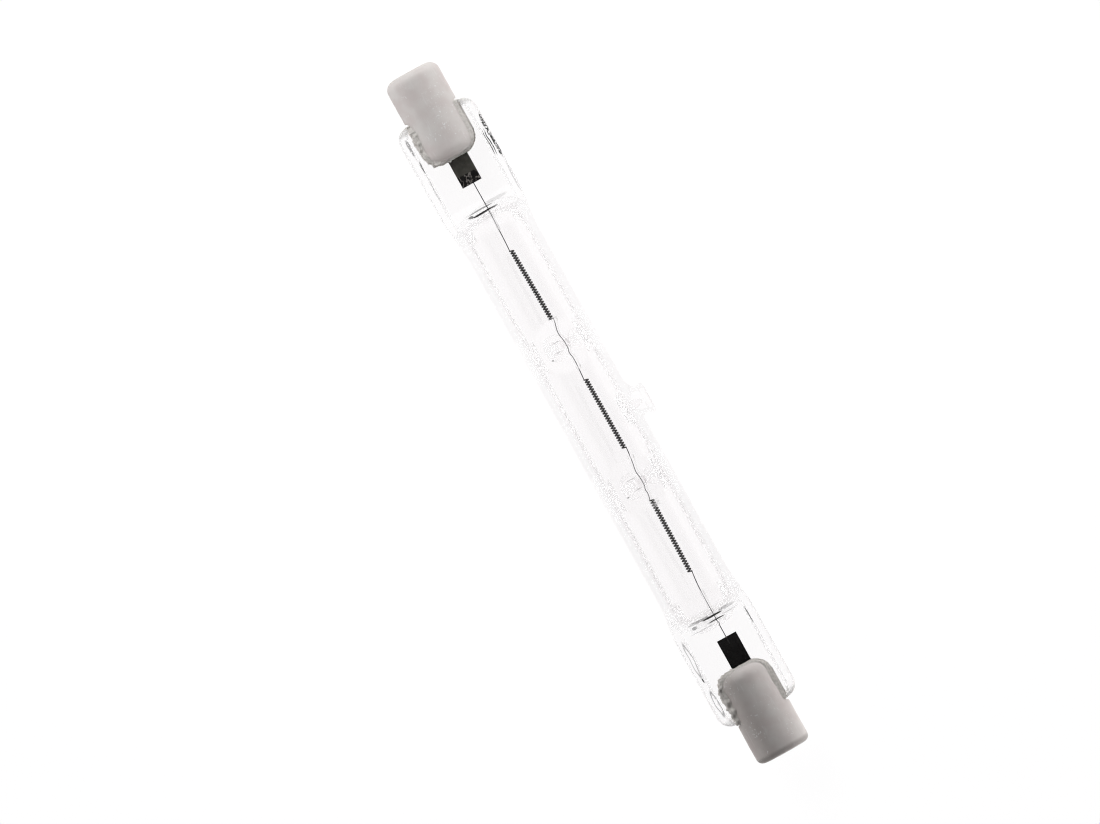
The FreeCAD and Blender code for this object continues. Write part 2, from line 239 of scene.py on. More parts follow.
def dome_radius(distance, radius, length, knuckle):
    """Radius of a domed end at a distance from its nose: a shallow crown, then a tight knuckle."""
    crown = (length**2 + (radius - knuckle) ** 2 - knuckle**2) / (2 * (length - knuckle))
    distance = np.maximum(distance, 0.0)
    crown_edge = crown - (crown - length) * crown / (crown - knuckle)
    on_crown = np.sqrt(np.maximum(crown**2 - (crown - distance) ** 2, 0.0))
    past = np.clip(length - distance, 0.0, knuckle)
    on_knuckle = radius - knuckle + np.sqrt(knuckle**2 - past**2)
    return np.where(distance < crown_edge, on_crown, np.where(distance < length, on_knuckle, radius))


# Where the ends differ, the first figure is the left end's and the second the right end's
dome_nose = (22.9, 21.6)
dome_length = (2.9, 3.6)
dome_knuckle = 1.6
cavity_nose = (23.9, 23.2)
cavity_length = 2.2
cavity_knuckle = 1.2
pinch_start = 7.2
pinch_half = 6.6
web_half = 1.2
rib_half = 2.0
rib_width = 1.6
rib_slope = 0.55
rib_rounding = 0.8
corner_radius = 2.2
pinch_edge = 0.35
edge_squeeze = 0.22
shoulder_length = 3.2
fillet_reach = 1.3
round_from = 1.4
round_over = 2.5


def pinch_half_width(u, end):
    """Half the pinch's width at a distance from the lamp's end, with its round corner and its shoulder."""
    corner = corner_radius - np.clip(u - pinch_start, 0.0, corner_radius)
    rounded = pinch_half - corner_radius + np.sqrt(np.maximum(corner_radius**2 - corner**2, 0.0))
    shoulder_end = dome_nose[end] + dome_length[end] + shoulder_length / 2
    fall = smooth_step((u - shoulder_end + shoulder_length * 1.4) / (shoulder_length * 1.8))
    return rounded - fall * (pinch_half - tube_radius + 0.5)


def pinch_rays(half_width, squeeze):
    """A quarter of the pinch's section as rays: start, way and length, from its side round to its face."""
    rays = []
    inner = half_width - rib_rounding
    flat = web_half * squeeze
    top = rib_half * squeeze
    for share in np.linspace(0, 1, 4)[:-1]:
        rays.append(((inner, flat * share), (1, 0), rib_rounding))
    for angle in quarter_turn(7):
        reach = math.hypot(rib_rounding * math.cos(angle), (top - flat) * math.sin(angle))
        rays.append(((inner, flat), (math.cos(angle), math.sin(angle)), reach))
    lateral = [inner - (rib_width - rib_rounding) * share for share in np.linspace(0, 1.2, 11)[1:]]
    still_needed = quarter + 1 - len(rays) - len(lateral)
    lateral += list(np.linspace(lateral[-1], 0, still_needed + 1)[1:])
    foot = half_width - rib_width
    for across in lateral:
        height = flat + (top - flat) * float(smooth_step((across - foot) / rib_slope))
        rays.append(((across, 0.0), (0.0, 1.0), height))
    return rays


def outer_ring(u, end):
    """Points of the outside at a distance from the lamp's end: the pinch melted into the domed tube."""
    half_width = float(pinch_half_width(u, end))
    edge = min(max((u - pinch_start) / pinch_edge, 0.0), 1.0)
    squeeze = 1 - edge_squeeze * (1 - math.sqrt(1 - (1 - edge) ** 2))
    radius = float(dome_radius(u - dome_nose[end], tube_radius, dome_length[end], dome_knuckle))
    to_tube = float(smooth_step((u - dome_nose[end] - dome_length[end] - round_from) / round_over))
    points = []
    for index, (start, way, length) in enumerate(pinch_rays(half_width, squeeze)):
        across = start[0] * way[0] + start[1] * way[1]
        inside = radius**2 - (start[0] ** 2 + start[1] ** 2 - across**2)
        on_dome = math.sqrt(inside) - across if inside > 0 else -lamp_length
        reach = float(smooth_max(length, on_dome, fillet_reach))
        v, w = start[0] + way[0] * reach, start[1] + way[1] * reach
        if to_tube > 0:
            angle = math.atan2(w, v) * (1 - to_tube) + math.pi / 2 * index / quarter * to_tube
            span = math.hypot(v, w) * (1 - to_tube) + tube_radius * to_tube
            v, w = span * math.cos(angle), span * math.sin(angle)
        points.append((v, w))
    far_side = [(-v, w) for v, w in reversed(points[:-1])]
    back = [(-v, -w) for v, w in points[1:]] + [(v, -w) for v, w in reversed(points[1:-1])]
    return points + far_side + back


def spaced(start, end, step):
    return list(np.linspace(start, end, max(2, round((end - start) / step) + 1)))[:-1]


foil_ends = (19.4, 98.0)


def along(share):
    """The distance from the left end of a share of the way between the foils."""
    return foil_ends[0] + share * (foil_ends[1] - foil_ends[0])


tip_place = along(0.5229)
dimple_places = (along(0.3562), along(0.659))
feature_places = (*dimple_places, tip_place)
dimple_heights = (0.89, 0.93)
dimple_lean = math.radians(22.0)
wire_radius_held = 0.06
dimple_gap = 0.15
dimple_wall = 0.8

# Round each dimple and the tip the mesh has square cells, and a block of them makes way for the feature
cell = 0.26
reach_cells = 13
dent_columns, bulge_columns = 10, 14
tip_cells, tip_columns = reach_cells + 4, 16
hole_cells, hole_columns = 7, 8
plain_step = 1.2
plain_from = 4.2


def stations_between(start, end, centres):
    """Places along the plain tube, close together round each feature so that its patch is square."""
    stops = [start]
    for centre in sorted(centres):
        stops += spaced(stops[-1], centre - cell * reach_cells, plain_step)[1:]
        stops += [centre + cell * step for step in range(-reach_cells, reach_cells + 1)]
    stops += spaced(stops[-1], end, plain_step)[1:] + [end]
    return stops


def rings_to_surface(rings, blocks=()):
    """Faces between rings of points, leaving out a block round each feature. Gives each block's border."""
    count = len(rings[0])
    points = [p for ring in rings for p in ring]
    gone = set()
    borders = []
    for station, turn, half_long, half_round in blocks:
        rows = range(station - half_long, station + half_long)
        columns = range(turn - half_round, turn + half_round)
        gone |= {(row, column % count) for row in rows for column in columns}
        low, high = station - half_long, station + half_long
        left, right = turn - half_round, turn + half_round
        border = [(low, column) for column in range(left, right)]
        border += [(row, right) for row in range(low, high)]
        border += [(high, column) for column in range(right, left, -1)]
        border += [(row, left) for row in range(high, low, -1)]
        borders.append([row * count + column % count for row, column in border])
    faces = []
    for row in range(len(rings) - 1):
        for column in range(count):
            if (row, column) in gone:
                continue
            near, far = row * count, (row + 1) * count
            following = (column + 1) % count
            faces.append((near + column, near + following, far + following, far + column))
    return points, faces, borders


def end_fans(points, ends, count):
    """Fans that close ends: each is the index of its ring's first point and its middle's place along u."""
    faces = []
    for first, u in ends:
        pole = len(points)
        points.append((u, 0.0, 0.0))
        faces += [(first + step, first + (step + 1) % count, pole) for step in range(count)]
    return faces


def leftward(angle):
    """1 on the side of the tip towards the left end, 0 on the other side."""
    return (1 - np.cos(angle)) / 2


def feature_patch(points, faces, border, origin, way, radius, profile, lead_rings=5):
    """Fills a block with rings round a feature: out to in over the tube, then along the feature's profile.

    A ring of the profile is (distance from the feature's line, share, offset). Its height along the line is
    share times the height of the tube's surface there plus the offset, measured from origin. A pair of
    numbers is the plain value and what is added to it on the left side.
    """
    way2 = np.array(way)
    side2 = np.array((way2[1], -way2[0]))
    origin2 = np.array(origin[1:])
    corners = np.array([points[index] for index in border])
    a = corners[:, 0] - origin[0]
    b = (corners[:, 1:] - origin2) @ side2
    angle = np.arctan2(b, a)
    border_reach = np.hypot(a, b)

    def beside(rho):
        return origin2[None, :] + (rho * np.sin(angle))[:, None] * side2[None, :]

    def surface_height(rho):
        middle = float(origin2 @ way2)
        return -middle + np.sqrt(np.maximum(middle**2 - (beside(rho)**2).sum(1) + radius**2, 0.0))

    def ring_points(rho, height):
        flat = beside(rho) + height[:, None] * way2[None, :]
        return [(origin[0] + r * math.cos(t), v, w) for r, t, (v, w) in zip(rho, angle, flat)]

    def value(given):
        return given[0] + given[1] * leftward(angle) if isinstance(given, tuple) else given + 0 * angle

    first = value(profile[0][0])
    rings = []
    for step in range(1, lead_rings + 1):
        rho = border_reach + (first - border_reach) * step / lead_rings
        rings.append((rho, surface_height(rho)))
    for distance, share, offset in profile[1:]:
        rho = value(distance)
        rings.append((rho, share * surface_height(rho) + value(offset)))
    last = list(border)
    count = len(border)
    for rho, height in rings:
        start = len(points)
        points.extend(ring_points(rho, height))
        fresh = list(range(start, start + count))
        for index in range(count):
            following = (index + 1) % count
            faces.append((last[index], last[following], fresh[following], fresh[index]))
        last = fresh
    centre = len(points)
    points.extend(ring_points(0 * angle, rings[-1][1])[:1])
    for index in range(count):
        faces.append((last[index], last[(index + 1) % count], centre))


def finger_rings(top_radius, bottom_radius, top_rounding, bottom_rounding, bottom):
    """Rings of a dent or bulge: a soft rim, a straight side and a round bottom at a height from the wire."""
    specs = [(top_radius + top_rounding, 1.0, 0.0)]
    for turn in quarter_turn(6)[1:]:
        rho = top_radius + top_rounding * (1 - math.sin(turn))
        specs.append((rho, 1.0, -top_rounding * (1 - math.cos(turn))))
    for share in np.linspace(0, 1, 9)[1:-1]:
        rho = top_radius + (bottom_radius - top_radius) * share
        low = bottom + bottom_rounding
        specs.append((rho, 1 - share, -top_rounding * (1 - share) + low * share))
    for turn in quarter_turn(7):
        rho = bottom_radius - bottom_rounding * (1 - math.cos(turn))
        specs.append((rho, 0.0, bottom + bottom_rounding * (1 - math.sin(turn))))
    for share in (0.66, 0.33):
        specs.append(((bottom_radius - bottom_rounding) * share, 0.0, bottom))
    return specs


tip_rings = [
    ((2.75, 1.5), 1.0, 0.0),
    ((2.35, 1.2), 1.0, (0.06, 0.05)),
    ((2.12, 0.9), 1.0, (0.2, 0.12)),
    ((2.03, 0.62), 0.6, (2.75, 0.1)),
    ((2.0, 0.42), 0.2, (5.52, 0.1)),
    ((2.05, 0.3), 0.0, 6.95),
    ((2.2, 0.17), 0.0, 7.1),
    ((2.4, 0.03), 0.0, 7.2),
    (2.52, 0.0, 7.35),
    (tip_rim_radius, 0.0, tip_top - tip_rim_rounding),
]
for turn in quarter_turn(6)[1:]:
    inward = tip_rim_rounding * (1 - math.cos(turn))
    tip_rings.append((tip_rim_radius - inward, 0.0, tip_top - tip_rim_rounding * (1 - math.sin(turn))))
for rho, depth in ((1.75, 0.02), (1.45, 0.12), (1.1, 0.25), (0.7, 0.33), (0.35, 0.35)):
    tip_rings.append((rho, 0.0, tip_top - depth))
hole_rings = [
    (1.5, 1.0, 0.0),
    (1.22, 1.0, 0.06),
    (1.02, 1.0, 0.2),
    (0.9, 1.0, 0.45),
    (0.78, 0.5, 3.3),
    (0.6, 0.0, 6.05),
    (0.42, 0.0, 6.5),
    (0.3, 0.0, 6.75),
    (0.16, 0.0, 6.86),
]


def end_stations(end):
    """Distances from the lamp's end where the outside of one end gets a ring."""
    nose = dome_nose[end]
    past_dome = nose + dome_length[end]
    stops = [pinch_start + pinch_edge * (1 - math.cos(turn)) for turn in quarter_turn(5)[:-1]]
    stops += spaced(pinch_start + pinch_edge, pinch_start + corner_radius, 0.25)
    stops += spaced(pinch_start + corner_radius, nose - 1.2, 0.8)
    stops += spaced(nose - 1.2, nose - 0.2, 0.2)
    stops += spaced(nose - 0.2, nose + 0.5, 0.05)
    stops += spaced(nose + 0.5, past_dome + 0.6, 0.1)
    stops += spaced(past_dome + 0.6, past_dome + plain_from, 0.3)
    return stops + [past_dome + plain_from]


def nearest(stops, place):
    return min(range(len(stops)), key=lambda index: abs(stops[index] - place))


def ring_column(origin, way, radius):
    """Which column of a ring the feature's line comes out at."""
    middle = origin[1] * way[0] + origin[2] * way[1]
    height = -middle + math.sqrt(middle**2 - origin[1] ** 2 - origin[2] ** 2 + radius**2)
    v, w = origin[1] + way[0] * height, origin[2] + way[1] * height
    return round(math.atan2(w, v) / (2 * math.pi) * round_steps) % round_steps


dimple_lines = []
for place, height in zip(dimple_places, dimple_heights):
    for facing in (1, -1):
        way = (-math.sin(dimple_lean) * facing, math.cos(dimple_lean) * facing)
        dimple_lines.append(((place, height, 0.0), way))
tip_line = ((tip_place, 0.0, 0.0), (1.0, 0.0))

left_stops = end_stations(0)
right_stops = [lamp_length - stop for stop in reversed(end_stations(1))]
middle_stops = stations_between(left_stops[-1], right_stops[0], feature_places)[1:-1]
outer_rings = [[(u, v, w) for v, w in outer_ring(u, 0)] for u in left_stops]
turns = [2 * math.pi * step / round_steps for step in range(round_steps)]
plain_ring = [(tube_radius * math.cos(turn), tube_radius * math.sin(turn)) for turn in turns]
outer_rings += [[(u, v, w) for v, w in plain_ring] for u in middle_stops]
outer_rings += [[(u, v, w) for v, w in outer_ring(lamp_length - u, 1)] for u in right_stops]
all_stops = left_stops + middle_stops + right_stops


def end_strips():
    """Flat ends of the two pinches: strips between the front and the back of the first and the last ring."""
    faces = []
    for first in (0, (len(all_stops) - 1) * round_steps):
        for step in range(round_steps // 2):
            back = (round_steps - step) % round_steps
            corners = (step, step + 1, round_steps - step - 1, back)
            faces.append(tuple(dict.fromkeys(first + corner for corner in corners)))
    return faces


blocks = [
    (nearest(all_stops, origin[0]), ring_column(origin, way, tube_radius), reach_cells, dent_columns)
    for origin, way in dimple_lines
]
blocks.append((nearest(all_stops, tip_place), 0, tip_cells, tip_columns))
points, faces, borders = rings_to_surface(outer_rings, blocks)
faces += end_strips()
dent_rings = finger_rings(
    top_radius=1.3,
    bottom_radius=0.55,
    top_rounding=0.5,
    bottom_rounding=0.25,
    bottom=wire_radius_held + dimple_gap + dimple_wall,
)
for (origin, way), border in zip(dimple_lines, borders):
    feature_patch(points, faces, border, origin, way, tube_radius, dent_rings)
feature_patch(points, faces, borders[-1], *tip_line, tube_radius, tip_rings)
envelope = mesh_object("quartz_bulb", points, faces)

# The hollow is a closed surface of its own, turned to face the gas inside
rise = [cavity_nose[0] + cavity_length * (1 - math.cos(turn)) for turn in quarter_turn(28)[1:-1]]
far_nose = lamp_length - cavity_nose[1]
fall = [far_nose - (stop - cavity_nose[0]) for stop in reversed(rise)]
plain_start, plain_end = cavity_nose[0] + cavity_length, far_nose - cavity_length
cavity_stops = rise + stations_between(plain_start, plain_end, feature_places) + fall
cavity_rings = []
for u in cavity_stops:
    from_nose = min(u - cavity_nose[0], far_nose - u)
    radius = float(dome_radius(from_nose, cavity_radius, cavity_length, cavity_knuckle))
    cavity_rings.append([(u, v * radius / tube_radius, w * radius / tube_radius) for v, w in plain_ring])

blocks = [
    (nearest(cavity_stops, origin[0]), ring_column(origin, way, cavity_radius), reach_cells, bulge_columns)
    for origin, way in dimple_lines
]
blocks.append((nearest(cavity_stops, tip_place), 0, hole_cells, hole_columns))
points, faces, borders = rings_to_surface(cavity_rings, blocks)
noses = ((0, cavity_nose[0]), ((len(cavity_stops) - 1) * round_steps, far_nose))
faces += end_fans(points, noses, round_steps)
bulge_rings = finger_rings(
    top_radius=1.85,
    bottom_radius=1.1,
    top_rounding=0.75,
    bottom_rounding=0.85,
    bottom=wire_radius_held + dimple_gap,
)
for (origin, way), border in zip(dimple_lines, borders):
    feature_patch(points, faces, border, origin, way, cavity_radius, bulge_rings)
feature_patch(points, faces, borders[-1], *tip_line, cavity_radius, hole_rings)
hollow = mesh_object("quartz_hollow", points, faces, inside_out=True)
envelope = join_into(envelope, [hollow])

# The quartz is clear. Its pressed ends ripple, and their ribs are crushed rough further out.
flat_from = 33.0
quartz = Paint("fused_quartz")
u, v, w = quartz.lamp_axes()
place = quartz.place()
far_out = u.absolute()
pressed = (far_out - flat_from).fade(0.0, 1.5)
rib = (v.absolute() - 5.2).fade(0.0, 0.5) * pressed
wander = quartz.grain(place, 0.18, 1.0) * 0.35
crushed = quartz.grain(place, 2.6, 3.0, 0.65) * rib * (far_out - 41.5).fade(0.0, 2.0)
ripple = quartz.grain(place, 0.6, 2.0) * pressed
waves = quartz.bump(wander + ripple * 0.12 + crushed * 0.7, 1.0, 0.0002)
glass = quartz.plain("BsdfGlass", quartz_tint, Roughness=0.012, IOR=quartz_ior, Normal=waves)

# Pressing leaves trapped air lines along the ribs and folds at the ends of the hollow. The dark arcs over
# the hollow's domed ends and the short lines beside the dimples are painted refraction: dark lines standing
# in for the bent glass. A mark is (distance from the lamp's middle, distance to the tip's side, half length,
# half width, darkness, how far it is broken up). Of a fold only the rim shows.
press_marks_and_painted_refraction = (
    (-46.2, 6.2, 2.2, 0.3, 0.95, 0.43),
    (-42.9, 6.25, 2.2, 0.26, 0.95, 0.42),
    (-43.6, 5.68, 2.4, 0.09, 0.95, 0.36),
    (-43.6, 5.4, 2.4, 0.08, 0.85, 0.36),
    (-37.4, 6.2, 2.8, 0.12, 0.3, 0.36),
    (-48.5, -5.42, 1.5, 0.25, 0.6, 0.36),
    (-45.1, -5.25, 1.1, 0.12, 0.7, 0.36),
    (-41.3, -5.22, 2.8, 0.08, 0.35, 0.36),
    (43.3, -5.67, 0.4, 0.11, 0.9, 0.2),
    (37.9, 5.31, 1.4, 0.11, 0.8, 0.25),
    (41.8, 5.09, 2.8, 0.05, 0.35, 0.4),
    # Painted refraction: dark arcs over the domed ends of the hollow.
    (-34.68, -0.8, 0.15, 1.7, 0.95, -1.0),
    (-34.75, 1.14, 0.12, 1.0, 0.8, -1.0),
    (-35.3, -0.6, 0.14, 2.3, 0.6, -1.0),
    (-34.9, -2.4, 0.2, 0.45, 0.75, -1.0),
    (-35.75, 2.1, 0.3, 2.2, 0.2, -1.0),
    (35.35, 0.33, 0.14, 1.8, 0.95, -1.0),
    (36.05, 0.6, 0.12, 1.5, 0.85, -1.0),
    (35.1, -2.0, 0.22, 1.9, 0.35, -1.0),
    (35.05, 2.9, 0.26, 1.5, 0.3, -1.0),
    (35.75, -2.9, 0.3, 0.5, 0.55, -1.0),
    (36.55, -1.9, 0.1, 2.2, 0.25, -1.0),
    (35.8, 3.1, 0.1, 1.6, 0.25, -1.0),
    # Painted refraction: short dark lines beside the dimples.
    (-12.2, -0.46, 0.1, 0.9, 0.14, 0.2),
    (-10.7, -0.87, 0.14, 0.6, 0.12, 0.2),
    (-10.0, -2.08, 0.16, 0.2, 0.3, 0.2),
    (11.4, -0.51, 0.08, 1.0, 0.16, 0.2),
    (13.2, -0.13, 0.1, 0.8, 0.18, 0.2),
    (13.6, -2.13, 0.12, 0.22, 0.35, 0.2),
)
folds = (
    (39.9, -5.65, 3.3, 0.34, 0.6, 0.34),
    (47.4, -5.5, 2.4, 0.36, 0.7, 0.34),
)
break_up = quartz.grain(place, 3.6, 3.0, 0.7)
meander = (quartz.grain(place, 0.55, 1.0) - 0.5) * 0.35
marks = 0.0
for group in (press_marks_and_painted_refraction, folds):
    for mark_u, mark_v, half_length, half_width, darkness, broken in group:
        far_u = (u + meander * 0.5 - mark_u) / half_length
        far_v = (v + meander - mark_v) / half_width
        reach = (far_u * far_u + far_v * far_v).root()
        inside = 1 - reach.fade(0.75, 1.1)
        if group is folds:
            inside = inside * reach.fade(0.5, 0.85)
        marks = inside * break_up.fade(broken, broken + 0.1) * darkness + marks
on_face = (w > 0.5) * marks.clamped()
air_lines_and_painted_refraction = quartz.plain("BsdfDiffuse", (0.02, 0.02, 0.018))

# Where a bend in the glass is steep the camera sees little but the pale floor through it
pale = quartz.plain("BsdfTransparent", quartz_tint)
# Painted shade: the see-through glass is darkened a little more towards the right end.
painted_shade_tint = quartz.plain("BsdfTransparent", (0.5, 0.485, 0.49))
see_through = quartz.layer(u.fade(-4.0, 14.0) * 0.022 + 0.001, pale, painted_shade_tint)
edges = (v.absolute() - 3.9).fade(0.0, 0.8) * (1 - pressed) * 0.93
ribs = (v.absolute() - 4.5).fade(0.0, 0.8) * pressed * 0.7
shoulders = (far_out - 30.8).fade(0.0, 1.5) * (1 - (far_out - 36.4).fade(0.0, 0.6)) * 0.84
faint = edges.maximum(ribs).maximum(shoulders)
for centre, across, reach, strength in (
    (dimple_places[0], v.absolute(), 3.7, 0.9),
    (dimple_places[1], v.absolute(), 3.7, 0.9),
    (tip_place, v - 6.5, 3.0, 0.72),
):
    off_centre = u - (centre - lamp_length / 2)
    distance = (off_centre * off_centre + across * across).root()
    faint = faint.maximum((1 - distance.fade(reach, reach + 1.0)) * strength)
body = quartz.layer(faint, glass, see_through)
milky = quartz.plain("BsdfDiffuse", (0.8, 0.79, 0.77))
cemented = (far_out - 50.2).fade(0.0, 1.0) * (0.2 + quartz.grain(place, 1.1, 2.0).fade(0.4, 0.7) * 0.5)
body = quartz.layer(cemented, body, milky)
body = quartz.layer(on_face, body, air_lines_and_painted_refraction)
clear = quartz.plain("BsdfTransparent", (0.97, 0.965, 0.965))
envelope.data.materials.append(quartz.finish(quartz.layer(quartz.ray("Shadow"), body, clear)))
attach(envelope, "root")
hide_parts("quartz_envelope")

# Each foil is a strip of molybdenum thinner than paper, etched to feather edges and sealed flat in the pinch.
# The filament's leg is spot welded to its inner end, which leaves a band of dark pressed marks, and the outer
# lead to its outer end. The hot glass grips it.
foil_outer = 9.8
foil_reach = (foil_ends[0], lamp_length - foil_ends[1])
foil_rows, foil_columns = 97, 33
foil_half_width = 1.63
foil_heights = (0.26, 0.67)
foil_half_thickness = 0.025
weld_length = 1.75
weld_dent = 0.018


def foil_points(end, face):
    """A grid over one face of a foil, thin at its long edges and dented at its weld."""
    inner = foil_reach[end]
    points = []
    for step in range(foil_rows):
        u = foil_outer + (inner - foil_outer) * step / (foil_rows - 1)
        for across in np.linspace(-1, 1, foil_columns):
            v = foil_heights[end] + across * foil_half_width
            swell = foil_half_thickness * (1 - 0.8 * abs(across) ** 6)
            near = float(smooth_step((u - inner + weld_length) / 0.3))
            spot = noise.noise(Vector((u * 1.9, v * 1.9, 3.7 + end)))
            crease = math.sin(v * 7.0 + 2.2 * math.sin(u * 3.1))
            dent = near * (weld_dent * crease * max(spot + 0.25, 0.0))
            points.append((u if end == 0 else lamp_length - u, v, swell * face + dent))
    return points


def foil_mesh(end, side):
    points = foil_points(end, 1) + foil_points(end, -1)
    to_back = foil_rows * foil_columns
    faces = []
    for row in range(foil_rows - 1):
        for column in range(foil_columns - 1):
            first = row * foil_columns + column
            following = first + foil_columns
            faces.append((first, first + 1, following + 1, following))
            faces.append([to_back + corner for corner in (first, following, following + 1, first + 1)])
    last_column, last_row = foil_columns - 1, foil_rows - 1
    rim = list(range(foil_columns))
    rim += [row * foil_columns + last_column for row in range(1, foil_rows)]
    rim += [last_row * foil_columns + column for column in range(last_column - 1, -1, -1)]
    rim += [row * foil_columns for row in range(last_row - 1, 0, -1)]
    for index, here in enumerate(rim):
        following = rim[(index + 1) % len(rim)]
        faces.append((here, here + to_back, following + to_back, following))
    return mesh_object("foil_strip_" + side, points, faces)


molybdenum = Paint("etched_molybdenum")
u, v, w = molybdenum.lamp_axes()
place = molybdenum.place()
past_left = u + (0.5 * lamp_length - foil_reach[0])
past_right = (0.5 * lamp_length - foil_reach[1]) - u
from_inner = u.combine("MINIMUM", past_left.absolute(), past_right.absolute())
band = 1 - (from_inner - weld_length + 0.12).fade(0.0, 0.2)
mottle = molybdenum.grain(place, 1.3, 4.0, 0.6)
streak = molybdenum.grain(molybdenum.place((250.0, 2600.0, 2600.0)), 1.0, 3.0)
curls = molybdenum.add(
    "TexWave",
    {"Vector": place, "Scale": 0.5, "Distortion": 13.0, "Detail": 2.0, "Detail Scale": 1.2},
    out="Fac",
    wave_type="RINGS",
)
scored = curls.fade(0.9, 0.99) * band * (1 - (u > 0.0))
pale = molybdenum.blend(mottle.fade(0.3, 0.75), (0.042, 0.041, 0.035, 1), (0.068, 0.066, 0.057, 1))
# The right foil is coloured much darker than the left.
darker_right_foil = molybdenum.blend(mottle.fade(0.45, 0.8), (0.0015, 0.001, 0.001, 1), (0.006, 0.0055, 0.005, 1))
plain = molybdenum.blend(u > 0.0, pale, darker_right_foil)
burnt = molybdenum.blend(scored, (0.0025, 0.002, 0.002, 1), (0.16, 0.15, 0.14, 1))
colour = molybdenum.blend(band, plain, burnt)
relief = molybdenum.bump(streak * 0.3 + scored * 0.8 + mottle * 0.3, 0.6, 0.00003)
gloss = 0.5 - band * 0.2 + streak * 0.12
foil_metal = molybdenum.coat(colour, gloss, 0.15, Metallic=0.35, Normal=relief)
for end, side in enumerate(("left", "right")):
    strip_piece = foil_mesh(end, side)
    strip_piece.data.materials.append(foil_metal)
    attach(strip_piece, "root")
    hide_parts("molybdenum_foil_" + side)

# The filament is one tungsten wire. It is wound first as a fine primary coil and then as three long coils.
# It is left single where it runs through the dimples and down to the foils, where it is spot welded.
coil_shares = ((0.1489, 0.3028), (0.4351, 0.5878), (0.6997, 0.8575))
coil_heights = ((0.53, 0.80), (0.95, 1.0), (0.82, 0.62))
coil_turns = 28.5
coil_radius = 0.286
thread_radius = 0.116
primary_turns = 430.0
ridge_height = 0.012
coil_points = 2150
single_radius = 0.07
leg_height = 0.1
bends = (
    ((0.3117, 1.0), (0.3321, 0.58), (0.3461, 0.84), (0.3662, 0.93), (0.3753, 0.64), (0.3906, 0.96)),
    ((0.6209, 1.02), (0.6374, 0.74), (0.6491, 0.9), (0.6692, 0.96), (0.6768, 0.67), (0.687, 0.86)),
)


def evaluated_mesh(piece):
    """The plain mesh that a piece's modifiers or bevel give."""
    view = bpy.context.evaluated_depsgraph_get()
    return bpy.data.meshes.new_from_object(piece.evaluated_get(view))


class Winding(Tree):
    """The Geometry Nodes of a wound wire, with a named input for each of its sizes."""

    def __init__(self, name, sizes):
        self.tree = bpy.data.node_groups.new(name, "GeometryNodeTree")
        self.tree.interface.new_socket(name="Geometry", in_out="OUTPUT", socket_type="NodeSocketGeometry")
        self.inputs = {}
        for key, kind in sizes.items():
            made = self.tree.interface.new_socket(name=key, in_out="INPUT", socket_type="NodeSocket" + kind)
            self.inputs[key] = made.identifier
        self.entry = self.tree.nodes.new("NodeGroupInput")

    def size(self, name):
        return Value(self, self.entry.outputs[name])

    def scaled(self, way, length):
        return self.add("VectorMath", {0: way, "Scale": length}, operation="SCALE")

    def with_run(self, curve, name):
        """A curve that keeps how far round or along it each point is, and that share."""
        kept = self.add("GeometryNodeCaptureAttribute", {"Geometry": curve}, domain="POINT").socket.node
        kept.capture_items.new("FLOAT", name)
        run = self.add("GeometryNodeSplineParameter", out="Factor")
        self.tree.links.new(run.socket, kept.inputs[1])
        return Value(self, kept.outputs[0]), Value(self, kept.outputs[1])

    def finish(self, geometry):
        leave = self.tree.nodes.new("NodeGroupOutput")
        self.tree.links.new(geometry.socket, leave.inputs[0])


vectors = dict.fromkeys(("Start", "End", "Side Way", "Face Way"), "Vector")
measures = dict.fromkeys(("Turns", "Coil Radius", "Thread Radius", "Primary Turns", "Ridge"), "Float")
winding = Winding("coil_winding", {**vectors, **measures, "Points": "Int", "Metal": "Material"})
ends = {key: winding.size(key) for key in ("Start", "End")}
line = winding.add("GeometryNodeCurvePrimitiveLine", ends)
line = winding.add("GeometryNodeResampleCurve", {"Curve": line, "Count": winding.size("Points")})
share = winding.add("GeometryNodeSplineParameter", out="Factor")
angle = share * winding.size("Turns") * (2 * math.pi) + math.pi
to_side = winding.scaled(winding.size("Side Way"), angle.cosine())
to_face = winding.scaled(winding.size("Face Way"), angle.sine())
spoke = winding.add("VectorMath", {0: to_side, 1: to_face}, operation="ADD")
outward = winding.scaled(spoke, winding.size("Coil Radius"))
line = winding.add("GeometryNodeSetPosition", {"Geometry": line, "Offset": outward})
line, run = winding.with_run(line, "run")
ring_sizes = {"Resolution": 8, "Radius": winding.size("Thread Radius")}
ring, turn = winding.with_run(winding.add("GeometryNodeCurvePrimitiveCircle", ring_sizes), "turn")
thread = winding.add("GeometryNodeCurveToMesh", {"Curve": line, "Profile Curve": ring, "Fill Caps": True})
primary = run * winding.size("Primary Turns") + turn
swell = (primary * (2 * math.pi)).sine() * winding.size("Ridge")
outward = winding.scaled(winding.add("GeometryNodeInputNormal"), swell)
thread = winding.add("GeometryNodeSetPosition", {"Geometry": thread, "Offset": outward})
thread = winding.add("GeometryNodeSetMaterial", {"Geometry": thread, "Material": winding.size("Metal")})
winding.finish(winding.add("GeometryNodeRealizeInstances", {"Geometry": thread}))


def wound_coil(name, sizes):
    """The plain mesh of one coil with the given sizes."""
    carrier = placed(name, bpy.data.meshes.new(name))
    modifier = carrier.modifiers.new("winding", "NODES")
    modifier.node_group = winding.tree
    for key, given in sizes.items():
        modifier[winding.inputs[key]] = given
    mesh = evaluated_mesh(carrier)
    carrier.modifiers.clear()
    carrier.data = mesh
    mesh.shade_smooth()
    return carrier


def in_world(u, v, w=0.0):
    return to_world @ Vector((u, v, w))


